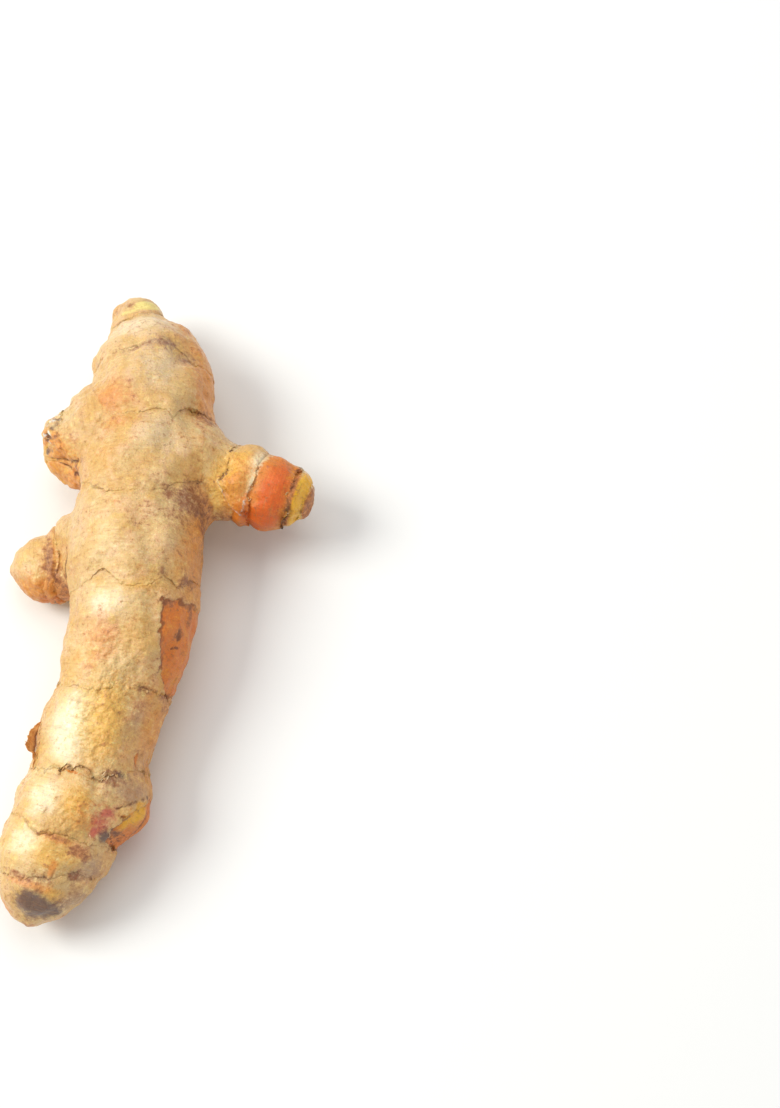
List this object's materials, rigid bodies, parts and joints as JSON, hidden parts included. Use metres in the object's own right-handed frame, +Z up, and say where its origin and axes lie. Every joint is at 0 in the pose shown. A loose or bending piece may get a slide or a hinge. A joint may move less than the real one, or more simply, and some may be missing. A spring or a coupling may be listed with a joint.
{
  "type": "turmeric root",
  "caption": "Fresh turmeric rhizome lying on its side: a ringed main finger with a plump side finger, a short blunt one and a snapped stub, grown as one piece.",
  "frame": {"origin": "on the resting plane, under the middle of the rhizome's box", "axes": "+Y along the main finger towards the end that broke from the mother plant, +X towards the plump side finger, +Z up from the surface it lies on"},
  "size_m": [0.0528, 0.1125, 0.0236],
  "materials": {
    "skin": "satin"
  },
  "bodies": {
    "root": {"turmeric_root": "skin"}
  },
  "joints": []
}
